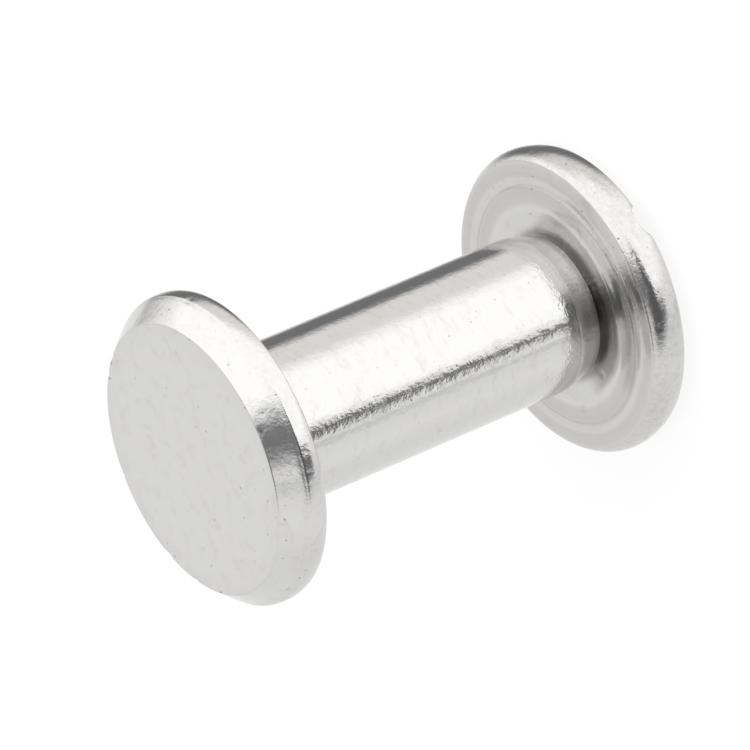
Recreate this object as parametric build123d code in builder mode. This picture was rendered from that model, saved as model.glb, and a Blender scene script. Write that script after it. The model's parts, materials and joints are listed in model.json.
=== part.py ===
from build123d import *
import os
from math import radians, tan

# Chicago screw: a headed barrel with a blind bore, closed by a headed screw.
# The screw head's slotted face stands on Z = 0, and Z is the common axis.
# Millimetres throughout.

# Both heads
head_diameter = 9.8  # widest circle of either rim
edge_radius = 0.10  # rounding of a turned edge

# Barrel head, the plain one
cap_thickness = 1.35
cap_bevel_height = 0.76
cap_bevel_run = 0.62  # how far the bevel reaches outward from the flat face
cap_bevel_inset = 0.03  # from the rim's widest circle in to the bevel's outer edge
cap_rim_inset = 0.08  # from the rim's widest circle in to its lower edge

# Barrel tube
barrel_diameter = 5.0
barrel_wall = 0.5  # to the roots of the thread
barrel_length = 12.4  # from the head's underside to the mouth
mouth_lip_width = 0.18  # flat ring left round the bore by the taper
mouth_taper_length = 1.15
taper_blend_radius = 0.60
root_radius = 0.15  # fillet where the tube meets its head
bore_margin = 1.4  # from the head's underside down to the start of the drill point
drill_point_angle = 118.0

# Screw head, the slotted one
screw_head_thickness = 1.5
screw_bevel_height = 0.37
screw_bevel_run = 0.52
screw_bevel_inset = 0.13  # from the rim's widest circle in to the bevel's outer edge
screw_rim_inset = 0.26  # from the rim's widest circle in to its upper edge
grip_ring_width = 0.90  # flat outer ring of the underside
land_rise = 0.05  # raised ring inside it
seat_depth = 0.05  # shallow seat in the raised ring, for the barrel's mouth
seat_clearance = 0.17  # radial, round the tube

# Screw shank, with an M4 x 0.7 thread drawn as the plain cylinder of its crests
thread_clearance = 0.05  # radial, between the shank's crests and the bore's roots
tip_room = 3.0  # bore left free beyond the shank's tip
tip_chamfer = 0.40

# Driver slot, along Y
slot_width = 1.2
slot_depth = 0.6

# Radii and heights that follow from the sizes above
head_radius = head_diameter / 2
barrel_radius = barrel_diameter / 2
bore_radius = barrel_radius - barrel_wall
shank_radius = bore_radius - thread_clearance
mouth_radius = bore_radius + mouth_lip_width
seat_radius = barrel_radius + seat_clearance
land_radius = head_radius - screw_rim_inset - grip_ring_width
land_height = screw_head_thickness + land_rise
seat_height = land_height - seat_depth
mouth_height = seat_height
taper_height = mouth_height + mouth_taper_length
cap_underside = mouth_height + barrel_length
total_height = cap_underside + cap_thickness
bore_end = cap_underside - bore_margin
drill_tip = bore_end + bore_radius / tan(radians(drill_point_angle / 2))
shank_top = bore_end - tip_room

# Corners of the two half sections, as radius and height
cap_bevel_edge = (head_radius - cap_bevel_inset, total_height - cap_bevel_height)
cap_flat_edge = (cap_bevel_edge[0] - cap_bevel_run, total_height)
cap_rim_middle = (head_radius, (cap_bevel_edge[1] + cap_underside) / 2)
cap_rim_edge = (head_radius - cap_rim_inset, cap_underside)
tube_root = (barrel_radius, cap_underside)
taper_start = (barrel_radius, taper_height)
screw_bevel_edge = (head_radius - screw_bevel_inset, screw_bevel_height)
screw_flat_edge = (screw_bevel_edge[0] - screw_bevel_run, 0)
screw_rim_middle = (head_radius, (screw_bevel_height + screw_head_thickness) / 2)
screw_rim_edge = (head_radius - screw_rim_inset, screw_head_thickness)


def round_corners(section, corners, radius):
    """Fillet the section's vertices that lie at the given corners."""
    fillet([section.vertices().sort_by_distance(corner)[0] for corner in corners], radius)


# Barrel: half section of the head and tube, turned about Z
with BuildPart() as barrel:
    with BuildSketch(Plane.XZ) as barrel_section:
        with BuildLine() as barrel_outline:
            Polyline((0, total_height), cap_flat_edge, cap_bevel_edge)
            TangentArc(cap_rim_middle, cap_bevel_edge, tangent=(0, 1))
            TangentArc(cap_rim_middle, cap_rim_edge, tangent=(0, -1))
            Polyline(
                cap_rim_edge,
                tube_root,
                taper_start,
                (mouth_radius, mouth_height),
                (bore_radius, mouth_height),
                (bore_radius, bore_end),
                (0, drill_tip),
                (0, total_height),
            )
        make_face()
        round_corners(barrel_section, [cap_flat_edge, cap_bevel_edge, cap_rim_edge], edge_radius)
        round_corners(barrel_section, [tube_root], root_radius)
        round_corners(barrel_section, [taper_start], taper_blend_radius)
    revolve(axis=Axis.Z)

barrel.part.label = "barrel"

# Screw: half section of the head and shank, turned about Z, then slotted
with BuildPart() as screw:
    with BuildSketch(Plane.XZ) as screw_section:
        with BuildLine() as screw_outline:
            Polyline((0, 0), screw_flat_edge, screw_bevel_edge)
            TangentArc(screw_rim_middle, screw_bevel_edge, tangent=(0, -1))
            TangentArc(screw_rim_middle, screw_rim_edge, tangent=(0, 1))
            Polyline(
                screw_rim_edge,
                (land_radius, screw_head_thickness),
                (land_radius, land_height),
                (seat_radius, land_height),
                (seat_radius, seat_height),
                (shank_radius, seat_height),
                (shank_radius, shank_top - tip_chamfer),
                (shank_radius - tip_chamfer, shank_top),
                (0, shank_top),
                (0, 0),
            )
        make_face()
        round_corners(screw_section, [screw_flat_edge, screw_bevel_edge, screw_rim_edge], edge_radius)
    revolve(axis=Axis.Z)
    # the slot's outline widens to a rounded rim at the flat face
    with BuildSketch(Plane.XZ) as slot_section:
        with BuildLine() as slot_outline:
            slot_wall = slot_width / 2
            slot_rim = slot_wall + edge_radius
            Polyline((0, slot_depth), (slot_wall, slot_depth), (slot_wall, edge_radius))
            TangentArc((slot_rim, 0), (slot_wall, edge_radius), tangent=(-1, 0))
            Polyline((slot_rim, 0), (slot_rim, -edge_radius), (0, -edge_radius))
            mirror(about=Plane.YZ)
        make_face()
    extrude(amount=head_diameter, both=True, mode=Mode.SUBTRACT)

screw.part.label = "screw"

os.makedirs("parts", exist_ok=True)
export_step(barrel.part, "parts/barrel.step")
export_step(screw.part, "parts/screw.step")
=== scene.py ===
import json
import math

import bmesh
import bpy
import numpy as np
from mathutils import Matrix, Vector


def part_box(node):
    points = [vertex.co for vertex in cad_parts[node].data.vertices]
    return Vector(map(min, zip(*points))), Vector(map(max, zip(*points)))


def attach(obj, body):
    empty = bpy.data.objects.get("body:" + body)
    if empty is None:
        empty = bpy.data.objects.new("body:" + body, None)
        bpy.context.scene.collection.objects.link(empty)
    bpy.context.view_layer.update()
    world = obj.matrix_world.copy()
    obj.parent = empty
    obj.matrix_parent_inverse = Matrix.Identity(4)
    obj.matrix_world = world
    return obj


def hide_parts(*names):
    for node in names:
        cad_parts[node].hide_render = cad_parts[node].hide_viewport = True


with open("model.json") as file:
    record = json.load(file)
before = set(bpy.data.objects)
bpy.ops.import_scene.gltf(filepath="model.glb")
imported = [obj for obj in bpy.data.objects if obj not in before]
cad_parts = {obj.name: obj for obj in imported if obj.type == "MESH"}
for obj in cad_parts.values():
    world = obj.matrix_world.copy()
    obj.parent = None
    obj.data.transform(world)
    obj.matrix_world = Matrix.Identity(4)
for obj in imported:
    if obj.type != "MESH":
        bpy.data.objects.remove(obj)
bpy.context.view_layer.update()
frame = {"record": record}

# A closed chicago screw standing on its slotted head: a plain-headed barrel and the screw inside it.
# Both turned pieces are redrawn here with soft edges, knocks and a cut thread. Shapes are in
# millimetres and become metres when the mesh is made.
mm = 0.001

# Places taken from the frame
barrelLow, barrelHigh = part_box("barrel")
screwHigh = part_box("screw")[1]
mounts = {mount["name"]: mount for mount in frame["record"]["mounts"]}
headRadius = max(barrelHigh.x, barrelHigh.y) / mm
tubeRadius = mounts["barrel_post"]["dims"]["r_mm"]
faceHeight = barrelHigh.z / mm
capHeight = mounts["barrel_head_grip_face"]["pos_m"][2] / mm
mouthHeight = barrelLow.z / mm
ringHeight = mounts["screw_head_grip_face"]["pos_m"][2] / mm
tipHeight = screwHigh.z / mm
slotDepth = mounts["driver_slot"]["pos_m"][2] / mm

grid = {
    "columns": 384,         # round each turned surface, a multiple of columnsPerThread
    "columnsPerThread": 4,  # columns of a head that meet one column of a thread
    "longestRow": 0.40,     # between rows on plain stretches
    "fineRow": 0.07,        # between rows on the rims, the bevels and the rings
    "turnPerRow": 5.0,      # degrees that a profile turns from row to row
    "rimPoints": 11,        # of the outline, on each half of a rim
    "mergeWithin": 0.0002,
    "sharpAngle": 32.0,     # degrees between faces that are shaded as an edge
}

threadCut = {
    "pitch": 0.70,
    "crestFlat": 0.0875,    # an eighth of the pitch
    "flankSlope": 1.732,    # radius lost for each millimetre along a 60 degree thread
    "edgeSoftness": 0.020,
}

# Shapes


def circleBulge(height, middle, half, inset):
    # How far a rim lies inside its widest circle: one circle touches the widest circle at `middle`
    # and passes `inset` inside it at the distance `half`, so the sag is R - sqrt(R^2 - (height -
    # middle)^2).
    radius = (inset ** 2 + half ** 2) / (2 * inset)
    return radius - np.sqrt(radius ** 2 - (height - middle) ** 2)


def rimOutline(start, end, startInset, endInset):
    # A rim from one height to another, widest halfway, with a bulge of its own on each half
    middle, half = (start + end) / 2, abs(end - start) / 2
    first = np.linspace(start, middle, grid["rimPoints"])
    last = np.linspace(middle, end, grid["rimPoints"])[1:]
    return np.r_[
        np.c_[headRadius - circleBulge(first, middle, half, startInset), first],
        np.c_[headRadius - circleBulge(last, middle, half, endInset), last],
    ]


def softened(corners, window, spacing=0.004):
    # A sharp outline made soft: points are set evenly along its lines, and each is replaced, twice
    # over, by the mean of its neighbours within `window`. Past each end the outline is mirrored
    # through its end point.
    corners = np.array(corners, float)
    run = np.r_[0, np.cumsum(np.hypot(*np.diff(corners, axis=0).T))]
    place = np.linspace(0, run[-1], int(run[-1] / spacing))
    line = np.c_[np.interp(place, run, corners[:, 0]), np.interp(place, run, corners[:, 1])]
    half = max(1, int(window / spacing / 2))
    kernel = np.ones(2 * half + 1) / (2 * half + 1)
    for again in range(2):
        before = 2 * line[0] - line[half:0:-1]
        after = 2 * line[-1] - line[-2:-half - 2:-1]
        padded = np.r_[before, line, after]
        line = np.stack([np.convolve(padded[:, axis], kernel, "valid") for axis in (0, 1)], -1)
    return line


def rowsAlong(line, fine):
    # The rows of a grid along an outline. A row's share of the outline is its length over the row
    # spacing plus its turn over the turn allowed, and rows stand at equal steps of the running total
    # of both.
    step = np.diff(line, axis=0)
    length = np.hypot(step[:, 0], step[:, 1])
    turn = np.abs(np.gradient(np.unwrap(np.arctan2(step[:, 1], step[:, 0]))))
    spacing = np.where(fine(line[1:, 0], line[1:, 1]), grid["fineRow"], grid["longestRow"])
    total = np.r_[0, np.cumsum(length / spacing + turn / math.radians(grid["turnPerRow"]))]
    rows = np.linspace(0, total[-1], int(math.ceil(total[-1])) + 1)
    return np.c_[np.interp(rows, total, line[:, 0]), np.interp(rows, total, line[:, 1])]


def turned(rows, angles):
    # A surface of revolution: at row (radius, height) and at an angle, the point is
    # (radius cos angle, radius sin angle, height).
    radius, height = rows[:, :1], rows[:, 1:]
    return np.stack(np.broadcast_arrays(radius * np.cos(angles), radius * np.sin(angles), height), -1)


def threadDepth(phase, depth):
    # Depth of a thread below its crest. `phase` counts pitches along the axis less turns round it, so
    # it is whole on a crest. The distance to the nearest crest, less half the flat, times the flank's
    # slope is the depth, held between nothing and the full depth.
    toCrest = np.abs(phase - np.round(phase)) * threadCut["pitch"]
    return np.clip((toCrest - threadCut["crestFlat"] / 2) * threadCut["flankSlope"], 0, depth)


def helicalSheet(angles, low, high, radiusAt, depth):
    # A threaded cylinder whose rows follow the helix: a row's height is its own pitch count times the
    # pitch plus the pitch times angle / full turn, held between the cylinder's two ends. Rows stand
    # on the crest's edges, the root's edges and just beside them.
    pitch, soft = threadCut["pitch"], threadCut["edgeSoftness"]
    crest = threadCut["crestFlat"] / 2
    root = crest + depth / threadCut["flankSlope"]
    flank = (crest + root) / 2
    upTo = np.array([0, crest - soft, crest + soft, flank, root - soft, root + soft, pitch / 2])
    inPitch = np.unique(np.r_[upTo, pitch - upTo[1:-1]])
    turns = np.arange(math.floor(low / pitch) - 2, math.ceil(high / pitch) + 2)
    heights = (turns[:, None] * pitch + inPitch).ravel()[:, None]
    height = np.clip(heights + pitch * angles / (2 * math.pi), low, high)
    radius = radiusAt(height, height / pitch - angles / (2 * math.pi))
    return np.stack([radius * np.cos(angles), radius * np.sin(angles), height], -1)


def smoothStep(value):
    # 3v^2 - 2v^3 of a value held between nothing and one
    value = np.clip(value, 0, 1)
    return value * value * (3 - 2 * value)


def sheetFaces(rows, columns, first):
    # Quads between neighbouring rows and columns of a grid whose first point has the number `first`
    corner = first + np.arange(rows - 1)[:, None] * columns + np.arange(columns - 1)
    return np.stack([corner, corner + 1, corner + columns + 1, corner + columns], -1).reshape(-1, 4)


def bridgeFaces(coarseCount, perCoarse, first):
    # One face from each stretch of a fine ring to the matching stretch of a coarse ring
    stretch = np.arange(coarseCount)[:, None]
    fine = first + stretch * perCoarse + np.arange(perCoarse + 1)
    coarse = first + coarseCount * perCoarse + 1 + stretch + np.array([1, 0])
    return np.hstack([fine, coarse])


def meshOf(name, sheets, fineRing, coarseRing):
    # One closed mesh from grids and the bridge between two rings. Points that coincide, at seams,
    # poles and slot walls, are merged, and the faces are then turned outwards.
    points, faces, count = [], [], 0
    for sheet in sheets:
        faces += sheetFaces(sheet.shape[0], sheet.shape[1], count).tolist()
        points.append(sheet.reshape(-1, 3))
        count += len(points[-1])
    coarseCount = len(coarseRing) - 1
    faces += bridgeFaces(coarseCount, (len(fineRing) - 1) // coarseCount, count).tolist()
    points += [fineRing, coarseRing]
    mesh = bpy.data.meshes.new(name)
    mesh.from_pydata((np.vstack(points) * mm).tolist(), [], faces)
    shaped = bmesh.new()
    shaped.from_mesh(mesh)
    bmesh.ops.remove_doubles(shaped, verts=shaped.verts, dist=grid["mergeWithin"] * mm)
    bmesh.ops.recalc_face_normals(shaped, faces=shaped.faces)
    shaped.to_mesh(mesh)
    shaped.free()
    mesh.shade_smooth()
    mesh.set_sharp_from_angle(angle=math.radians(grid["sharpAngle"]))
    return mesh


def knocked(mesh, knocks):
    # Small knocks in the metal: each moves the points round its middle against their normals by its
    # depth times exp(-(distance / size)^2). A knock is its angle in degrees, radius, height, size and
    # depth.
    count = len(mesh.vertices)
    points, normals = np.empty(count * 3), np.empty(count * 3)
    mesh.vertices.foreach_get("co", points)
    mesh.vertex_normals.foreach_get("vector", normals)
    points, normals = points.reshape(-1, 3), normals.reshape(-1, 3)
    for angle, radius, height, size, depth in knocks:
        turn = math.radians(angle)
        middle = np.array([radius * math.cos(turn), radius * math.sin(turn), height]) * mm
        nearness = ((points - middle) ** 2).sum(1) / (size * mm) ** 2
        points = points - normals * (depth * mm * np.exp(-nearness))[:, None]
    mesh.vertices.foreach_set("co", points.ravel())
    mesh.update()


def pieceOf(name, mesh, material):
    mesh.materials.append(material)
    piece = bpy.data.objects.new(name, mesh)
    bpy.context.scene.collection.objects.link(piece)
    return piece


# Shader helpers


def addNode(tree, kind, **settings):
    # A node's own settings are given by name, and the value of an input as in_ and the input's name
    node = tree.nodes.new(kind)
    for name, value in settings.items():
        if name.startswith("in_"):
            node.inputs[name[3:].replace("_", " ")].default_value = value
        else:
            setattr(node, name, value)
    return node


def feed(tree, socket, value):
    # A number or a colour is set on the socket, and an output is linked to it
    if isinstance(value, (int, float, tuple)):
        socket.default_value = value
    else:
        tree.links.new(value, socket)


def mathNode(tree, operation, *values):
    node = addNode(tree, "ShaderNodeMath", operation=operation)
    for socket, value in zip(node.inputs, values):
        feed(tree, socket, value)
    return node.outputs[0]


def times(tree, first, second):
    return mathNode(tree, "MULTIPLY", first, second)


def sumOf(tree, values):
    total = values[0]
    for value in values[1:]:
        total = mathNode(tree, "ADD", total, value)
    return total


def vectorMath(tree, operation, *values):
    node = addNode(tree, "ShaderNodeVectorMath", operation=operation)
    for socket, value in zip(node.inputs, values):
        feed(tree, socket, value)
    return node.outputs


def mapRange(tree, value, fromMin, fromMax, toMin=0.0, toMax=1.0, shape="SMOOTHSTEP"):
    node = addNode(tree, "ShaderNodeMapRange", interpolation_type=shape)
    names = ["Value", "From Min", "From Max", "To Min", "To Max"]
    for name, given in zip(names, [value, fromMin, fromMax, toMin, toMax]):
        feed(tree, node.inputs[name], given)
    return node.outputs["Result"]


def mixColour(tree, amount, first, second):
    # The Mix node has inputs for every kind of data: the factor is its first and the colours are
    # these two
    firstColour, secondColour, mixedColour = 6, 7, 2
    node = addNode(tree, "ShaderNodeMix", data_type="RGBA")
    for place, value in zip([0, firstColour, secondColour], [amount, first, second]):
        feed(tree, node.inputs[place], value)
    return node.outputs[mixedColour]


def colourRamp(tree, amount, stops):
    # Each stop is a place from nothing to one, and its colour. A new ramp has two stops already.
    node = addNode(tree, "ShaderNodeValToRGB")
    tree.links.new(amount, node.inputs["Fac"])
    elements = node.color_ramp.elements
    for number, (place, colour) in enumerate(stops):
        element = elements[number] if number < 2 else elements.new(1.0)
        element.position = place
        element.color = (*colour, 1.0)
    return node.outputs["Color"]


def noiseNode(tree, vector, perMetre, **settings):
    node = addNode(tree, "ShaderNodeTexNoise", **settings)
    feed(tree, node.inputs["Vector"], vector)
    feed(tree, node.inputs["Scale"], perMetre)
    return node.outputs


def newGroup(name, inputs, outputs):
    # Inputs are named with the value they start from, or with None for a vector. Outputs are numbers.
    tree = bpy.data.node_groups.new(name, "ShaderNodeTree")
    for socket, value in inputs.items():
        kind = "NodeSocketVector" if value is None else "NodeSocketFloat"
        made = tree.interface.new_socket(socket, in_out="INPUT", socket_type=kind)
        if value is not None:
            made.default_value = value
    for socket in outputs:
        tree.interface.new_socket(socket, in_out="OUTPUT", socket_type="NodeSocketFloat")
    groupInput, groupOutput = tree.nodes.new("NodeGroupInput"), tree.nodes.new("NodeGroupOutput")
    return tree, groupInput.outputs, groupOutput.inputs


def useGroup(tree, group, **values):
    node = addNode(tree, "ShaderNodeGroup", node_tree=group)
    for name, value in values.items():
        feed(tree, node.inputs[name], value)
    return node.outputs


# Surface effects that both metals share

effects = {
    "noiseMiddle": 0.5,          # of a noise, which runs from nothing to one
    "waveRoughness": 0.55, "grainDetail": 3.0,
    "pitEdgeDetail": 1.0,
    "markDetail": 5.0, "markRoughness": 0.62, "markDistortion": 0.4,
    "ringDetail": 2.0,
    "stainCore": 0.35,           # share of a stain's size that is stained in full
    "raggedDetail": 2.0,
}

# Shallow waves that tumbling leaves, like the skin of an orange
waveGroup, given, put = newGroup(
    "tumbledWaves", {"Vector": None, "PerMetre": 6000.0, "Height": 1e-6, "Detail": 2.0}, ["Height"])
noise = addNode(waveGroup, "ShaderNodeTexNoise", in_Roughness=effects["waveRoughness"])
for socket, value in [("Vector", "Vector"), ("Scale", "PerMetre"), ("Detail", "Detail")]:
    feed(waveGroup, noise.inputs[socket], given[value])
centred = mathNode(waveGroup, "SUBTRACT", noise.outputs["Fac"], effects["noiseMiddle"])
feed(waveGroup, put["Height"], times(waveGroup, centred, given["Height"]))

# Small ragged pits: in some cells of a scattered pattern, the points near the cell's centre. A cell's
# random colour says whether it has a pit and how large it is.
pitGroup, given, put = newGroup(
    "scatteredPits",
    {"Vector": None, "PerMetre": 3000.0, "Share": 0.2, "Radius": 0.15, "Depth": 4e-6,
     "Smallest": 0.45, "Ragged": 0.35, "RaggedPerMetre": 9000.0},
    ["Mask", "Height"],
)
edge = noiseNode(pitGroup, given["Vector"], given["RaggedPerMetre"], in_Detail=effects["pitEdgeDetail"])
cells = addNode(pitGroup, "ShaderNodeTexVoronoi", feature="F1")
feed(pitGroup, cells.inputs["Vector"], given["Vector"])
feed(pitGroup, cells.inputs["Scale"], given["PerMetre"])
chance = addNode(pitGroup, "ShaderNodeSeparateColor")
feed(pitGroup, chance.inputs[0], cells.outputs["Color"])
chosen = mathNode(pitGroup, "LESS_THAN", chance.outputs[0], given["Share"])
ownSize = mapRange(pitGroup, chance.outputs[1], 0.0, 1.0, given["Smallest"], 1.0)
ownRadius = times(pitGroup, given["Radius"], ownSize)
centred = mathNode(pitGroup, "SUBTRACT", edge["Fac"], effects["noiseMiddle"])
eitherWay = mathNode(pitGroup, "DIVIDE", given["Ragged"], effects["noiseMiddle"])
uneven = mathNode(pitGroup, "MULTIPLY_ADD", centred, eitherWay, 1.0)
inside = mapRange(pitGroup, cells.outputs["Distance"], times(pitGroup, ownRadius, uneven), 0.0)
pitMask = times(pitGroup, inside, chosen)
feed(pitGroup, put["Mask"], pitMask)
feed(pitGroup, put["Height"], times(pitGroup, pitMask, times(pitGroup, given["Depth"], -1.0)))

# Cloudy marks, drawn out by the stretch of the vector that they are given
markGroup, given, put = newGroup(
    "rubbedMarks", {"Vector": None, "PerMetre": 1000.0, "From": 0.45, "To": 0.7}, ["Mask"])
noise = noiseNode(markGroup, given["Vector"], given["PerMetre"], in_Detail=effects["markDetail"],
                  in_Roughness=effects["markRoughness"], in_Distortion=effects["markDistortion"])
feed(markGroup, put["Mask"], mapRange(markGroup, noise["Fac"], given["From"], given["To"]))

# A stain that fades out from its middle
stainGroup, given, put = newGroup(
    "stainSpot", {"Vector": None, "Middle": None, "Size": 1e-4}, ["Mask"])
apart = vectorMath(stainGroup, "DISTANCE", given["Vector"], given["Middle"])["Value"]
core = times(stainGroup, given["Size"], effects["stainCore"])
feed(stainGroup, put["Mask"], mapRange(stainGroup, apart, given["Size"], core))

# The distance from the axis and the height along it
turnedGroup, given, put = newGroup("turnedPlace", {"Vector": None}, ["Radius", "Height"])
axes = addNode(turnedGroup, "ShaderNodeSeparateXYZ")
feed(turnedGroup, axes.inputs[0], given["Vector"])
squares = [times(turnedGroup, axes.outputs[axis], axes.outputs[axis]) for axis in (0, 1)]
feed(turnedGroup, put["Radius"], mathNode(turnedGroup, "SQRT", sumOf(turnedGroup, squares)))
feed(turnedGroup, put["Height"], axes.outputs[2])

# A sector round the axis: a point's direction is compared with the middle one by the cosine between
# them
sectorGroup, given, put = newGroup(
    "turnedSector", {"Vector": None, "Middle": None, "InnerCosine": 0.9, "OuterCosine": 0.7}, ["Mask"])
flat = vectorMath(sectorGroup, "MULTIPLY", given["Vector"], (1.0, 1.0, 0.0))[0]
outward = vectorMath(sectorGroup, "NORMALIZE", flat)[0]
cosine = vectorMath(sectorGroup, "DOT_PRODUCT", outward, given["Middle"])["Value"]
feed(sectorGroup, put["Mask"], mapRange(sectorGroup, cosine, given["OuterCosine"], given["InnerCosine"]))

# Rings that turning leaves: noise along the radius plus the height, the same all the way round
ringGroup, given, put = newGroup(
    "lathedRings", {"Vector": None, "PerMetre": 12000.0, "Height": 3e-7}, ["Height"])
turnedPlace = useGroup(ringGroup, turnedGroup, Vector=given["Vector"])
noise = addNode(ringGroup, "ShaderNodeTexNoise", noise_dimensions="1D", in_Detail=effects["ringDetail"])
inward = sumOf(ringGroup, [turnedPlace["Radius"], turnedPlace["Height"]])
feed(ringGroup, noise.inputs["W"], times(ringGroup, inward, given["PerMetre"]))
centred = mathNode(ringGroup, "SUBTRACT", noise.outputs["Fac"], effects["noiseMiddle"])
feed(ringGroup, put["Height"], times(ringGroup, centred, given["Height"]))

# A band round the axis, between two radii and two heights, with soft borders
bandGroup, given, put = newGroup(
    "turnedBand",
    {"Vector": None, "Inner": 0.0, "Outer": 1.0, "Low": -1.0, "High": 1.0, "Soft": 0.0001}, ["Mask"])
turnedPlace = useGroup(bandGroup, turnedGroup, Vector=given["Vector"])
bandMask = 1.0
for socket, low, high in [("Radius", "Inner", "Outer"), ("Height", "Low", "High")]:
    for limit, before, after in [(low, 0.0, 1.0), (high, 1.0, 0.0)]:
        start = mathNode(bandGroup, "SUBTRACT", given[limit], given["Soft"])
        end = mathNode(bandGroup, "ADD", given[limit], given["Soft"])
        border = mapRange(bandGroup, turnedPlace[socket], start, end, before, after)
        bandMask = times(bandGroup, bandMask, border)
feed(bandGroup, put["Mask"], bandMask)


def stretched(tree, place, scale):
    mapping = addNode(tree, "ShaderNodeMapping", in_Scale=scale)
    tree.links.new(place, mapping.inputs["Vector"])
    return mapping.outputs[0]


def bandOf(tree, place, limits):
    # The limits are any of inner, outer, low, high and soft, in metres
    limits = {name.capitalize(): value for name, value in limits.items()}
    return useGroup(tree, bandGroup, Vector=place, **limits)["Mask"]


def cloudOf(tree, vector, look, name):
    # The values are named after the effect, such as markPerMetre, markFrom and markTo
    values = {socket: look[name + socket] for socket in ("PerMetre", "From", "To")}
    return useGroup(tree, markGroup, Vector=vector, **values)["Mask"]


def bumpOf(tree, place, look, atRim, pitHeight):
    # Heights of waves, rim grain, pits and rings are added up and feed one bump
    heights = [
        useGroup(tree, waveGroup, Vector=stretched(tree, place, stretch), PerMetre=perMetre,
                 Height=height, Detail=detail)["Height"]
        for stretch, perMetre, height, detail in look["waves"]
    ]
    grain = useGroup(tree, waveGroup, Vector=place, PerMetre=look["grainPerMetre"],
                     Height=look["grainHeight"], Detail=effects["grainDetail"])["Height"]
    rings = useGroup(tree, ringGroup, Vector=place, PerMetre=look["ringsPerMetre"],
                     Height=look["ringHeight"])["Height"]
    heights += [times(tree, grain, atRim), pitHeight, rings]
    bump = addNode(tree, "ShaderNodeBump", in_Strength=1.0, in_Distance=1.0)
    tree.links.new(sumOf(tree, heights), bump.inputs["Height"])
    return bump.outputs[0]


def stainsAndShadeOf(tree, place, look):
    # The strongest of all stains, smears and bands of painted shade at each point. Noise shifts the place
    # that the stains are measured from, which leaves them ragged.
    shift = noiseNode(tree, place, look["raggedPerMetre"], in_Detail=effects["raggedDetail"])["Color"]
    centred = vectorMath(tree, "SUBTRACT", shift, (effects["noiseMiddle"],) * 3)[0]
    ragged = vectorMath(tree, "MULTIPLY_ADD", centred, (look["raggedBy"],) * 3, place)[0]
    stainAndShade = 0.0
    for angle, radius, height, size, strength in look["stains"]:
        turn = math.radians(angle)
        middle = (radius * math.cos(turn) * mm, radius * math.sin(turn) * mm, height * mm)
        spot = useGroup(tree, stainGroup, Vector=ragged, Middle=middle, Size=size * mm)["Mask"]
        stainAndShade = mathNode(tree, "MAXIMUM", stainAndShade, times(tree, spot, strength))
    for darkening in look["smearsAndShade"]:
        turn, inner, outer = (math.radians(darkening[name]) for name in ("angle", "fullWithin", "noneBeyond"))
        sector = useGroup(tree, sectorGroup, Vector=place, Middle=(math.cos(turn), math.sin(turn), 0.0),
                          InnerCosine=math.cos(inner), OuterCosine=math.cos(outer))["Mask"]
        darkened = times(tree, bandOf(tree, place, darkening["band"]), sector)
        stainAndShade = mathNode(tree, "MAXIMUM", stainAndShade, times(tree, darkened, darkening["strength"]))
    return stainAndShade


def wornMetal(name, look):
    # Bright tumbled metal. Marks, mottling of the rim, a darkening by radius (painted ring shade on the
    # screw), painted shade in the corner, stains, smears and painted shade, and pits darken its colour in
    # turn, and marks, pits and the matte band roughen it.
    material = bpy.data.materials.new(name)
    material.use_nodes = True
    tree = material.node_tree
    shader = tree.nodes["Principled BSDF"]
    place = addNode(tree, "ShaderNodeTexCoord").outputs["Object"]

    atRim = bandOf(tree, place, look["rimBand"])
    matte = bandOf(tree, place, look["matteBand"])
    inRecess = bandOf(tree, place, look["grimeBand"])
    pits = useGroup(tree, pitGroup, Vector=place, PerMetre=look["pitsPerMetre"], Share=look["pitShare"],
                    Radius=look["pitRadius"], Depth=look["pitDepth"])
    tree.links.new(bumpOf(tree, place, look, atRim, pits["Height"]), shader.inputs["Normal"])

    marks = cloudOf(tree, stretched(tree, place, look["markStretch"]), look, "mark")
    mottled = times(tree, cloudOf(tree, place, look, "mottle"), atRim)
    # painted shade in the corner at each piece's head, broken up by a cloud
    grime = times(tree, inRecess, cloudOf(tree, place, look, "grime"))
    radius = useGroup(tree, turnedGroup, Vector=place)["Radius"]
    share = mapRange(tree, radius, 0.0, headRadius * mm, shape="LINEAR")
    stops = [(reach / headRadius, (amount,) * 3) for reach, amount in look["darkeningByRadius"]]
    colour = look["colour"]
    for amount, over in [
        (times(tree, marks, look["markStrength"]), look["markColour"]),
        (times(tree, mottled, look["mottleStrength"]), look["mottleColour"]),
        # a darkening by radius within the matte band, which on the screw's underside is painted shade of
        # its turned rings
        (times(tree, colourRamp(tree, share, stops), matte), look["darkeningColour"]),
        (times(tree, grime, look["grimeStrength"]), look["grimeColour"]),
        # stains and smears, with bands of painted shade among them, in one colour
        (stainsAndShadeOf(tree, place, look), look["grimeColour"]),
        (times(tree, pits["Mask"], look["pitDarkness"]), look["pitColour"]),
    ]:
        colour = mixColour(tree, amount, colour, over)
    tree.links.new(colour, shader.inputs["Base Color"])

    rough = mapRange(tree, marks, 0.0, 1.0, look["roughness"], look["roughnessMarked"])
    for mask, least in [(pits["Mask"], look["roughnessPitted"]), (matte, look["roughnessMatte"])]:
        rough = mathNode(tree, "MAXIMUM", rough, times(tree, mask, least))
    tree.links.new(rough, shader.inputs["Roughness"])
    shader.inputs["Metallic"].default_value = 1.0
    return material


print("shared effects ready")

# The barrel, with the plain head

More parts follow.
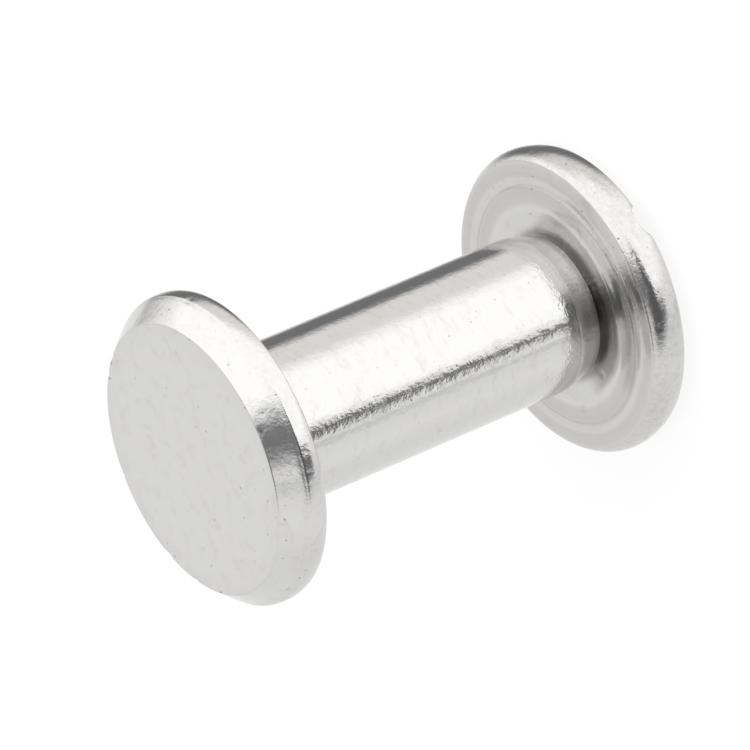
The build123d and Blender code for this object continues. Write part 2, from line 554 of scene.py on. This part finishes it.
barrelShape = {
    "bevelHeight": 0.76, "bevelRun": 0.62, "bevelInset": 0.03, "rimInset": 0.08,
    "creaseLength": 0.10,        # of the crease between the bevel and the rim, along the bevel
    "creaseDepth": 0.012,
    "rootFillet": 0.11,          # cut across the corner between tube and head
    "taperLength": 0.98, "noseHeight": 0.42, "noseRadius": 2.37,   # the taper steepens at its nose
    "lipHeight": 0.10, "lipRadius": 2.27, "mouthLip": 0.10, "lipChamfer": 0.02,
    "boreRoot": 2.00, "boreMinor": 1.66, "threadEnd": 11.70, "boreEnd": 12.50,
    "drillAngle": 59.0,          # between the axis and the side of the drill point
    "edgeWindow": 0.075,
    "fineInside": 0.80,          # width of the fine rows, in from the rim
    # angle in degrees, radius, height, size and depth of each knock
    "knocks": [
        (12, 4.22, 15.22, 0.13, 0.035), (22, 4.24, 15.22, 0.10, 0.025), (67, 4.22, 15.22, 0.12, 0.025),
        (106, 4.23, 15.22, 0.14, 0.035), (124, 4.22, 15.22, 0.12, 0.030), (143, 4.24, 15.22, 0.13, 0.025),
        (178, 4.74, 14.65, 0.12, 0.012), (188, 4.82, 14.55, 0.13, 0.016), (194, 4.87, 14.46, 0.12, 0.022),
        (216, 4.36, 15.11, 0.12, 0.010), (233, 4.88, 14.40, 0.10, 0.008), (241, 4.89, 14.34, 0.08, 0.006),
        (253, 4.30, 15.18, 0.10, 0.008), (259, 4.50, 14.95, 0.10, 0.006), (303, 4.44, 15.01, 0.12, 0.008),
        (316, 4.85, 14.45, 0.12, 0.014), (345, 4.80, 14.20, 0.14, 0.025), (80, 4.85, 14.20, 0.14, 0.025),
    ],
}
barrelLook = {
    "colour": (0.72, 0.715, 0.71, 1.0),
    "roughness": 0.10, "roughnessMarked": 0.22, "roughnessPitted": 0.4,
    # stretch along x, y and z, noise per metre, height and detail of each set of waves
    "waves": [
        ((1.0, 1.0, 1.0), 8500.0, 4.5e-6, 2.0),
        ((1.0, 1.0, 1.0), 3400.0, 5.5e-6, 2.0),
        ((1.0, 1.0, 1.0), 1300.0, 6.0e-6, 1.0),
        ((1.0, 1.0, 0.25), 4200.0, 5.0e-6, 2.0),
    ],
    # the rims are grainy and mottled
    "rimBand": {"inner": 0.00472, "soft": 0.00006}, "grainPerMetre": 20000.0, "grainHeight": 4.0e-6,
    "mottlePerMetre": 6500.0, "mottleFrom": 0.30, "mottleTo": 0.75,
    "mottleStrength": 0.16, "mottleColour": (0.44, 0.43, 0.42, 1.0),
    "pitsPerMetre": 2600.0, "pitShare": 0.75, "pitRadius": 0.15, "pitDepth": 6.0e-6,
    "pitDarkness": 0.75, "pitColour": (0.22, 0.21, 0.20, 1.0),
    "ringsPerMetre": 14000.0, "ringHeight": 2.0e-7,
    "markStretch": (1.0, 1.0, 2.0), "markPerMetre": 1900.0, "markFrom": 0.47, "markTo": 0.75,
    "markStrength": 0.32, "markColour": (0.57, 0.55, 0.535, 1.0),
    # the flat face is matte, and darker towards its edge by radius
    "matteBand": {"inner": -1.0, "low": 0.01522, "soft": 0.00003}, "roughnessMatte": 0.26,
    "darkeningByRadius": [(0.0, 0.05), (3.5, 0.05), (4.2, 0.12)], "darkeningColour": (0.50, 0.49, 0.48, 1.0),
    # painted shade in the corner between the tube and its head
    "grimeBand": {"inner": 0.0024, "outer": 0.00275, "low": 0.0136, "high": 0.0141, "soft": 0.0001},
    "grimePerMetre": 1200.0, "grimeFrom": 0.30, "grimeTo": 0.65,
    "grimeStrength": 0.60, "grimeColour": (0.26, 0.25, 0.24, 1.0),
    # angle in degrees, radius, height, size and strength of each stain, most of them mere specks
    "stains": [
        (222, 3.78, 15.25, 0.045, 0.70), (182, 3.65, 15.25, 0.040, 0.50), (204, 3.77, 15.25, 0.040, 0.60),
        (225, 3.17, 15.25, 0.035, 0.50), (264, 4.22, 15.24, 0.050, 0.70), (253, 4.32, 15.16, 0.060, 0.85),
        (216, 4.36, 15.10, 0.055, 0.75), (259, 4.49, 14.95, 0.035, 0.70), (15, 4.22, 15.24, 0.070, 0.85),
        (10, 3.98, 15.25, 0.040, 0.60), (23, 4.15, 15.25, 0.060, 0.80), (67, 4.22, 15.24, 0.065, 0.80),
        (106, 4.22, 15.24, 0.070, 0.80), (124, 4.22, 15.24, 0.060, 0.80), (142, 4.23, 15.22, 0.065, 0.80),
        (187, 4.80, 14.53, 0.055, 0.60), (192, 4.86, 14.46, 0.050, 0.55), (178, 4.74, 14.64, 0.055, 0.50),
        (271, 2.50, 11.15, 0.035, 0.40), (195, 2.50, 9.75, 0.040, 0.50), (187, 2.50, 10.70, 0.040, 0.50),
        (199, 2.50, 7.25, 0.035, 0.50),
    ],
    "raggedPerMetre": 16000.0, "raggedBy": 0.00004,
    # each smear and each band of painted shade lies in a band, and fades with the angle from its middle,
    # in degrees
    "smearsAndShade": [
        {"angle": 60.0, "fullWithin": 15.0, "noneBeyond": 55.0, "strength": 0.10,
         "band": {"inner": 0.0024, "outer": 0.0026, "low": 0.0065, "high": 0.0125, "soft": 0.0008}},
    ],
}


def barrelOutline():
    # Radius and height from the middle of the flat face, over the bevel and the rim, to the mouth
    shape = barrelShape
    bevelTop = np.array([headRadius - shape["bevelInset"] - shape["bevelRun"], faceHeight])
    bevelFoot = np.array([headRadius - shape["bevelInset"], faceHeight - shape["bevelHeight"]])
    along = (bevelFoot - bevelTop) / np.linalg.norm(bevelFoot - bevelTop)
    inward = np.array([along[1], -along[0]])
    crease = [bevelFoot - along * shape["creaseLength"],
              bevelFoot - along * shape["creaseLength"] / 2 + inward * shape["creaseDepth"]]
    rim = rimOutline(bevelFoot[1], capHeight, shape["bevelInset"], shape["rimInset"])
    fillet = shape["rootFillet"]
    mouthRadius = shape["boreRoot"] + shape["mouthLip"]
    tube = [
        (tubeRadius + fillet, capHeight), (tubeRadius, capHeight - fillet),
        (tubeRadius, mouthHeight + shape["taperLength"]),
        (shape["noseRadius"], mouthHeight + shape["noseHeight"]),
        (shape["lipRadius"], mouthHeight + shape["lipHeight"]), (mouthRadius, mouthHeight),
        (shape["boreRoot"] + shape["lipChamfer"], mouthHeight),
    ]
    return np.vstack([[(0, faceHeight), bevelTop], crease, rim, tube])


def buildBarrel():
    shape = barrelShape
    angles = np.linspace(0, 2 * math.pi, grid["columns"] + 1)
    coarse = angles[::grid["columnsPerThread"]]

    def fineOnHead(radius, height):
        return (radius > headRadius - shape["fineInside"]) & (height >= capHeight)

    outside = turned(rowsAlong(softened(barrelOutline(), shape["edgeWindow"]), fineOnHead), angles)
    depth = shape["boreRoot"] - shape["boreMinor"]

    def boreRadius(height, phase):
        # the thread's radius, cut back to a chamfer at the mouth and closed to its minor radius at
        # its end
        closing = np.clip((height - shape["threadEnd"] + threadCut["pitch"]) / threadCut["pitch"], 0, 1)
        radius = shape["boreRoot"] - np.maximum(threadDepth(phase, depth), depth * closing)
        return np.maximum(radius, shape["boreRoot"] - (height - mouthHeight))

    bore = helicalSheet(coarse, mouthHeight, shape["threadEnd"], boreRadius, depth)
    drillTip = shape["boreEnd"] + shape["boreMinor"] / math.tan(math.radians(shape["drillAngle"]))
    bottom = turned(np.array([
        (shape["boreMinor"], shape["threadEnd"]),
        (shape["boreMinor"], shape["boreEnd"]),
        (0, drillTip),
    ]), coarse)
    lip = turned(np.array([(shape["boreRoot"], mouthHeight)]), coarse)[0]
    mesh = meshOf("barrel", [outside, bore, bottom], outside[-1], lip)
    knocked(mesh, shape["knocks"])
    return mesh


barrelMetal = wornMetal("barrelMetal", barrelLook)
barrelPiece = pieceOf("barrel_turned", buildBarrel(), barrelMetal)
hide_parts("barrel")
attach(barrelPiece, "barrel")
print("barrel:", len(barrelPiece.data.polygons), "faces")

# The screw, with the slotted head

screwShape = {
    "bevelHeight": 0.37, "bevelRun": 0.52, "bevelInset": 0.13, "rimInset": 0.26,
    "slotWidth": 1.2, "slotFlare": 0.10, "slotFillet": 0.06,
    "flarePoints": 7, "wallPoints": 5, "floorPoints": 5,   # of the slot's section, on each side
    "discRows": 15,              # along the slot, over the flat face
    "flatInside": 0.15,          # from the bevel in to the edge of the disc that the slot's columns cross
    "wornFrom": 4.35,            # radius past which the slot's ends are worn to a round dip
    "dipFlat": 0.20, "dipReach": 0.85,
    # Columns keep their place across the bevel within straightWithin of the slot's middle, and come
    # to turn with the radius over straightFade. From evenAbove past the slot's depth, and over
    # evenWithin, all of them drift to equal angles.
    "straightWithin": 0.80, "straightFade": 1.40, "evenAbove": 0.04, "evenWithin": 0.60,
    "crest": 1.95, "core": 1.58, "tipChamfer": 0.40,
    "edgeWindow": 0.075,
    "fineInside": 2.60,          # width of the fine rows, in from the rim
    # The underside from the rim inwards, as radius and height over the grip ring: the dished ring, a
    # low roll, the groove at the foot of the land, the crowned land, its inner roll, the shallow
    # hollow round the barrel's mouth, and the seat
    "underside": [
        (4.45, -0.016), (4.26, -0.018), (4.10, 0.022), (3.96, -0.002), (3.88, -0.020), (3.79, 0.040),
        (3.66, 0.058), (3.46, 0.064), (3.26, 0.048), (3.13, 0.060), (3.02, 0.036), (2.84, 0.000),
        (2.62, -0.030), (2.40, -0.055), (2.26, -0.050), (2.12, 0.0), (2.05, 0.0),
    ],
    # angle in degrees, radius, height, size and depth of each knock
    "knocks": [
        (259, 4.79, 1.32, 0.07, 0.012), (246, 4.76, 1.36, 0.08, 0.014), (231, 4.80, 1.25, 0.08, 0.012),
        (222, 4.88, 1.00, 0.10, 0.014), (200, 4.86, 1.10, 0.12, 0.020), (318, 4.86, 0.75, 0.14, 0.030),
        (20, 4.86, 0.80, 0.14, 0.040), (75, 4.84, 1.15, 0.14, 0.040), (140, 4.86, 0.90, 0.14, 0.035),
        (182, 2.60, 1.42, 0.12, 0.030), (205, 3.70, 1.55, 0.11, 0.020), (286, 3.35, 1.55, 0.12, 0.020),
    ],
}
screwLook = dict(barrelLook)
screwLook.update({
    "colour": (0.70, 0.695, 0.685, 1.0), "roughness": 0.13, "roughnessMarked": 0.26,
    "rimBand": {"inner": 0.00464, "soft": 0.00006}, "grainHeight": 4.8e-6, "mottleStrength": 0.34,
    "ringsPerMetre": 9000.0, "ringHeight": 5.0e-7,
    # the underside is rougher than the rest
    "matteBand": {"inner": -1.0, "outer": 0.00466, "low": 0.00135, "high": 0.0017, "soft": 0.00003},
    "roughnessMatte": 0.22,
    # painted shade of the underside's turned rings in bands by radius, and painted shade next to the
    # barrel's mouth
    "darkeningByRadius": [
        (2.00, 0.40), (2.60, 0.15), (2.95, 0.12), (3.08, 0.05), (3.20, 0.12), (3.35, 0.55), (3.65, 0.65),
        (3.76, 0.50), (3.83, 0.65), (3.95, 0.20), (4.10, 0.25), (4.25, 0.55), (4.50, 0.50), (4.64, 0.20),
    ],
    # painted shadow in the corner round the barrel's mouth
    "grimeBand": {"inner": 0.00195, "outer": 0.00245, "low": 0.0012, "high": 0.00156, "soft": 0.00016},
    "grimePerMetre": 900.0, "grimeFrom": 0.22, "grimeTo": 0.52,
    "grimeStrength": 0.70, "grimeColour": (0.20, 0.195, 0.19, 1.0),
    "stains": [
        (259, 4.76, 1.30, 0.045, 0.60), (246, 4.73, 1.34, 0.045, 0.50), (182, 2.62, 1.46, 0.050, 0.50),
        (150, 3.40, 1.55, 0.040, 0.50), (320, 4.20, 1.50, 0.040, 0.50), (30, 3.70, 1.55, 0.045, 0.50),
    ],
    # painted shade in the same corner, fainter painted shade further out, and a faint smear on the
    # slotted face
    "smearsAndShade": [
        {"angle": 206.0, "fullWithin": 22.0, "noneBeyond": 46.0, "strength": 0.60,
         "band": {"inner": 0.00195, "outer": 0.00298, "low": 0.0012, "high": 0.00158, "soft": 0.00014}},
        {"angle": 222.0, "fullWithin": 12.0, "noneBeyond": 34.0, "strength": 0.36,
         "band": {"inner": 0.0035, "outer": 0.0039, "low": 0.0012, "high": 0.0017, "soft": 0.00012}},
        {"angle": 30.0, "fullWithin": 10.0, "noneBeyond": 60.0, "strength": 0.10,
         "band": {"inner": 0.0012, "outer": 0.0036, "high": 0.0001, "soft": 0.0006}},
    ],
})


def slotSection():
    # The slot's section as (x, depth) from one side to the other: a flare that is a quarter circle at
    # the rim, a straight wall, a quarter circle at the foot, the floor, and the same mirrored.
    shape = screwShape
    wall = shape["slotWidth"] / 2
    rim, foot = shape["slotFlare"], shape["slotFillet"]
    turn = np.linspace(0, math.pi / 2, shape["flarePoints"])
    flare = np.c_[wall + rim * (1 - np.sin(turn)), rim * (1 - np.cos(turn))]
    depths = np.linspace(rim, slotDepth - foot, shape["wallPoints"])[1:-1]
    straight = np.c_[np.full_like(depths, wall), depths]
    turn = turn[::2]
    fillet = np.c_[wall - foot * (1 - np.cos(turn)), slotDepth - foot * (1 - np.sin(turn))]
    across = np.linspace(fillet[-1, 0], 0, shape["floorPoints"])[1:]
    floor = np.c_[across, np.full_like(across, slotDepth)]
    side = np.vstack([flare, straight, fillet, floor])
    return np.vstack([side, side[-2::-1] * [-1, 1]])


def screwColumns(discRadius, half):
    # Columns of half the head, as x on the circle of discRadius and depth of the slot there: equal
    # angles as far as the slot, then the slot's section, then equal angles again.
    section = slotSection()
    plain = (half - len(section)) // 2
    slotEdge = math.acos(section[0, 0] / discRadius)
    sides = discRadius * np.cos(np.linspace(0, slotEdge, plain + 1)[:-1])
    level = np.zeros(plain)
    return np.r_[sides, section[:, 0], -sides[::-1]], np.r_[level, section[:, 1], level]


def wornSlotEnds(x, sink, radius):
    # Depth of the slot where its ends are worn. Towards the rim the slot's own section gives way to a
    # round dip of the same depth, which is flat in the middle and grows shallower by 3v^2 - 2v^3 of
    # the way out.
    shape = screwShape
    outward = smoothStep((radius - shape["wornFrom"]) / (headRadius - shape["wornFrom"]))
    dip = slotDepth * (1 - smoothStep((np.abs(x) - shape["dipFlat"]) / shape["dipReach"]))
    return (1 - outward) * sink + outward * dip


def buildScrew():
    shape = screwShape
    half = grid["columns"] // 2 + 1
    bevelRadius = headRadius - shape["bevelInset"]
    discRadius = bevelRadius - shape["bevelRun"] - shape["flatInside"]
    x, sink = screwColumns(discRadius, half)

    underside = np.array(shape["underside"]) + (0, ringHeight)
    outline = np.vstack([
        [(discRadius, 0), (bevelRadius - shape["bevelRun"], 0)],
        rimOutline(shape["bevelHeight"], ringHeight, shape["bevelInset"], shape["rimInset"]),
        underside,
    ])
    rows = rowsAlong(softened(outline, shape["edgeWindow"]),
                     lambda radius, height: radius > headRadius - shape["fineInside"])
    radius, height = rows[:, :1], rows[:, 1:]
    # On the bevel and rim, columns beside the slot keep their x, and those further off turn with the
    # radius. Past the slot's depth all of them drift to equal angles.
    keep = 1 - smoothStep((np.abs(x) - shape["straightWithin"]) / shape["straightFade"])
    reach = smoothStep((height - slotDepth - shape["evenAbove"]) / shape["evenWithin"])
    past = np.maximum.accumulate(reach)
    shifted = keep * x + (1 - keep) * x * radius / discRadius
    worn = wornSlotEnds(shifted, sink, radius)
    even = np.linspace(0, math.pi, half)
    angle = (1 - past) * np.arccos(np.clip(shifted / radius, -1, 1)) + past * even
    around = np.hstack([angle, 2 * math.pi - angle[:, -2::-1]])
    wornAround = np.hstack([worn, worn[:, -2::-1]])
    slotted = np.where(past > 0, height, np.maximum(height, wornAround))
    outside = np.stack([radius * np.cos(around), radius * np.sin(around), slotted], -1)

    share = np.linspace(-1, 1, shape["discRows"])[:, None]
    chord = np.sqrt(np.maximum(discRadius ** 2 - x ** 2, 0))
    disc = np.stack(np.broadcast_arrays(x, share * chord, sink), -1)

    coarse = around[-1, ::grid["columnsPerThread"]]
    depth = shape["crest"] - shape["core"]

    def shankRadius(height, phase):
        # the thread's radius, smooth at the head for half a pitch and chamfered at the tip
        cut = np.clip((height - mouthHeight) / (threadCut["pitch"] / 2), 0, 1)
        radius = shape["crest"] - threadDepth(phase, depth) * cut
        return np.minimum(radius, shape["crest"] - (height - tipHeight + shape["tipChamfer"]))

    shank = helicalSheet(coarse, mouthHeight, tipHeight, shankRadius, depth)
    tipRadius = shape["crest"] - shape["tipChamfer"]
    tip = turned(np.array([(tipRadius, tipHeight), (0, tipHeight)]), coarse)
    foot = turned(np.array([(shape["crest"], mouthHeight)]), coarse)[0]
    mesh = meshOf("screw", [outside, disc, shank, tip], outside[-1], foot)
    knocked(mesh, shape["knocks"])
    return mesh


screwMetal = wornMetal("screwMetal", screwLook)
screwPiece = pieceOf("screw_turned", buildScrew(), screwMetal)
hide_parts("screw")
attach(screwPiece, "screw")
print("screw:", len(screwPiece.data.polygons), "faces")

# The table under it

tableLook = {
    "halfSize": 1.5,
    "drop": 0.00001,             # below the part, so that the two don't share a plane
    "colour": (0.96, 0.96, 0.96, 1.0), "roughness": 0.9,
    "plainWhite": 0.88,          # share of white that the camera sees in place of the table's own tone
}


def buildTable():
    size, under = tableLook["halfSize"], -tableLook["drop"]
    corners = [(-size, -size, under), (size, -size, under), (size, size, under), (-size, size, under)]
    mesh = bpy.data.meshes.new("table")
    mesh.from_pydata(corners, [], [(0, 1, 2, 3)])
    material = bpy.data.materials.new("paleTable")
    material.use_nodes = True
    tree = material.node_tree
    shader = tree.nodes["Principled BSDF"]
    shader.inputs["Base Color"].default_value = tableLook["colour"]
    shader.inputs["Roughness"].default_value = tableLook["roughness"]
    white = addNode(tree, "ShaderNodeEmission", in_Strength=1.0)
    cameraRay = addNode(tree, "ShaderNodeLightPath").outputs["Is Camera Ray"]
    mix = addNode(tree, "ShaderNodeMixShader")
    tree.links.new(times(tree, cameraRay, tableLook["plainWhite"]), mix.inputs[0])
    tree.links.new(shader.outputs[0], mix.inputs[1])
    tree.links.new(white.outputs[0], mix.inputs[2])
    # from below the table isn't there, so that the slotted face can be looked at
    fromBelow = addNode(tree, "ShaderNodeMixShader")
    tree.links.new(addNode(tree, "ShaderNodeNewGeometry").outputs["Backfacing"], fromBelow.inputs[0])
    tree.links.new(mix.outputs[0], fromBelow.inputs[1])
    tree.links.new(addNode(tree, "ShaderNodeBsdfTransparent").outputs[0], fromBelow.inputs[2])
    tree.links.new(fromBelow.outputs[0], tree.nodes["Material Output"].inputs["Surface"])
    table = pieceOf("table", mesh, material)
    table.visible_glossy = False   # polished metal mirrors the light tent, which the world holds


# The light tent that the metal mirrors, in degrees: elevation above the photographed table, and
# azimuth to the right of the way the camera looks, or for "out" of the way back. Brightness is a
# share of white.
tent = {
    "up": (0.5505, -0.8348, 0.0), "into": (0.6610, 0.4365, -0.6102), "right": (-0.5092, -0.3363, -0.7922),
    "strength": 1.38,
    "byElevation": [
        (-90, (0.635, 0.635, 0.63)), (-55, (0.635, 0.635, 0.63)), (-35, (0.69, 0.69, 0.685)),
        (-14, (0.655, 0.655, 0.65)), (-8, (0.50, 0.50, 0.50)), (-4, (0.72, 0.72, 0.72)),
        (-1, (0.76, 0.76, 0.76)), (3, (0.68, 0.67, 0.665)), (14, (0.82, 0.81, 0.80)),
        (23, (1.0, 1.0, 1.0)), (90, (1.0, 1.0, 1.0)),
    ],
    # A patch rises between its first two azimuths and falls between its last two. Its lower and upper
    # borders and their softness go from the first value to the second while the azimuth makes its
    # turn.
    "patches": [
        {"facing": "in", "azimuth": (-75, -35, 14, 54), "turn": (-60, -34),
         "low": (32, 4), "high": (66, 58), "soft": (8, 10), "colour": (0.69, 0.668, 0.65)},
        {"facing": "in", "azimuth": (-45, -29, 12, 30), "turn": (-44, 0),
         "low": (-4, -16), "high": (26, 23), "soft": (7, 8), "colour": (0.15, 0.15, 0.155)},
        {"facing": "out", "azimuth": (8, 24, 44, 60), "turn": (0, 1),
         "low": (-20, -20), "high": (16, 16), "soft": (10, 10), "colour": (0.17, 0.168, 0.167)},
        {"facing": "out", "azimuth": (-66, -44, -8, 4), "turn": (-60, -14),
         "low": (-2, -14), "high": (12, 51), "soft": (3, 9), "colour": (0.095, 0.095, 0.098)},
        {"facing": "out", "azimuth": (-12, -2, 18, 40), "turn": (-8, 10),
         "low": (-7, 5.5), "high": (51, 32.5), "soft": (11, 10), "colour": (0.165, 0.165, 0.168)},
        {"facing": "out", "azimuth": (-78, -72, -50, -40), "turn": (-69.5, -67.2),
         "low": (5, -1), "high": (10, 16), "soft": (1.5, 2.6), "colour": (0.13, 0.13, 0.133)},
    ],
}


def patchGroup():
    # The mask of one patch: its rise and fall by azimuth, times its lower and upper borders by
    # elevation
    inputs = ["Azimuth", "Elevation", "RiseFrom", "RiseTo", "FallFrom", "FallTo", "TurnFirst", "TurnLast",
              "LowFirst", "LowLast", "HighFirst", "HighLast", "SoftFirst", "SoftLast"]
    group, given, put = newGroup("tentPatch", dict.fromkeys(inputs, 0.0), ["Mask"])
    rise = mapRange(group, given["Azimuth"], given["RiseFrom"], given["RiseTo"])
    fall = mapRange(group, given["Azimuth"], given["FallFrom"], given["FallTo"], 1.0, 0.0)
    turn = mapRange(group, given["Azimuth"], given["TurnFirst"], given["TurnLast"])
    soft = mapRange(group, turn, 0.0, 1.0, given["SoftFirst"], given["SoftLast"], "LINEAR")
    mask = times(group, rise, fall)
    for border, before, after in [("Low", 0.0, 1.0), ("High", 1.0, 0.0)]:
        first, last = given[border + "First"], given[border + "Last"]
        middle = mapRange(group, turn, 0.0, 1.0, first, last, "LINEAR")
        start, end = mathNode(group, "SUBTRACT", middle, soft), mathNode(group, "ADD", middle, soft)
        mask = times(group, mask, mapRange(group, given["Elevation"], start, end, before, after))
    feed(group, put["Mask"], mask)
    return group


def buildTent():
    world = bpy.data.worlds.new("lightTent")
    bpy.context.scene.world = world
    world.use_nodes = True
    tree = world.node_tree
    tree.nodes.clear()
    direction = addNode(tree, "ShaderNodeTexCoord").outputs["Generated"]

    def alongAxis(axis):
        node = addNode(tree, "ShaderNodeVectorMath", operation="DOT_PRODUCT")
        tree.links.new(direction, node.inputs[0])
        node.inputs[1].default_value = axis
        return node.outputs["Value"]

    upward, inward, rightward = (alongAxis(tent[name]) for name in ("up", "into", "right"))
    elevation = mathNode(tree, "DEGREES", mathNode(tree, "ARCSINE", upward))
    azimuth = {}
    for facing, sign in [("in", 1.0), ("out", -1.0)]:
        angle = mathNode(tree, "ARCTAN2", times(tree, rightward, sign), times(tree, inward, sign))
        azimuth[facing] = mathNode(tree, "DEGREES", angle)

    lowest, highest = -90.0, 90.0
    stops = [((angle - lowest) / (highest - lowest), colour) for angle, colour in tent["byElevation"]]
    colour = colourRamp(tree, mapRange(tree, elevation, lowest, highest, shape="LINEAR"), stops)
    group = patchGroup()
    for patch in tent["patches"]:
        values = dict(zip(["RiseFrom", "RiseTo", "FallFrom", "FallTo"], patch["azimuth"]))
        for name in ("turn", "low", "high", "soft"):
            values[name.capitalize() + "First"], values[name.capitalize() + "Last"] = patch[name]
        values.update(Azimuth=azimuth[patch["facing"]], Elevation=elevation)
        mask = useGroup(tree, group, **values)["Mask"]
        colour = mixColour(tree, mask, colour, (*patch["colour"], 1.0))
    around = addNode(tree, "ShaderNodeBackground", in_Strength=tent["strength"])
    tree.links.new(colour, around.inputs["Color"])
    backdrop = addNode(tree, "ShaderNodeBackground", in_Strength=1.0, in_Color=(1.0, 1.0, 1.0, 1.0))
    mix = addNode(tree, "ShaderNodeMixShader")
    tree.links.new(addNode(tree, "ShaderNodeLightPath").outputs["Is Camera Ray"], mix.inputs[0])
    tree.links.new(around.outputs[0], mix.inputs[1])
    tree.links.new(backdrop.outputs[0], mix.inputs[2])
    tree.links.new(mix.outputs[0], addNode(tree, "ShaderNodeOutputWorld").inputs["Surface"])


lamp = {"place": (0.02, -0.08, 0.30), "aim": (0.0, 0.0, 0.007), "size": 0.25, "watts": 0.5}


def buildLamp():
    # A soft lamp above, for the shadow on the table
    data = bpy.data.lights.new("softLamp", "AREA")
    data.shape = "DISK"
    data.size = lamp["size"]
    data.energy = lamp["watts"]
    light = bpy.data.objects.new("softLamp", data)
    light.location = lamp["place"]
    toAim = Vector(lamp["aim"]) - Vector(lamp["place"])
    light.rotation_euler = toAim.to_track_quat("-Z", "Y").to_euler()
    light.visible_glossy = False
    bpy.context.scene.collection.objects.link(light)


view = {
    "place": (-0.051926, -0.172517, 0.115050), "direction": (0.24889, 0.82361, -0.50963),
    "sensor": 36.0, "lens": 336.0, "nearest": 0.01, "furthest": 10.0,
}


def buildCamera():
    # The photo was taken of the part lying down, so the picture's upright is the tent's
    data = bpy.data.cameras.new("camera")
    data.sensor_width = view["sensor"]
    data.lens = view["lens"]
    data.clip_start, data.clip_end = view["nearest"], view["furthest"]
    forward = Vector(view["direction"]).normalized()
    right = forward.cross(Vector(tent["up"])).normalized()
    up = right.cross(forward)
    camera = bpy.data.objects.new("camera", data)
    turn = Matrix((right, up, -forward)).transposed()
    camera.matrix_world = Matrix.Translation(view["place"]) @ turn.to_4x4()
    bpy.context.scene.collection.objects.link(camera)
    bpy.context.scene.camera = camera


buildTable()
buildTent()
buildLamp()
buildCamera()
bpy.context.scene.view_settings.view_transform = "Standard"
print("table, tent, lamp and camera ready")
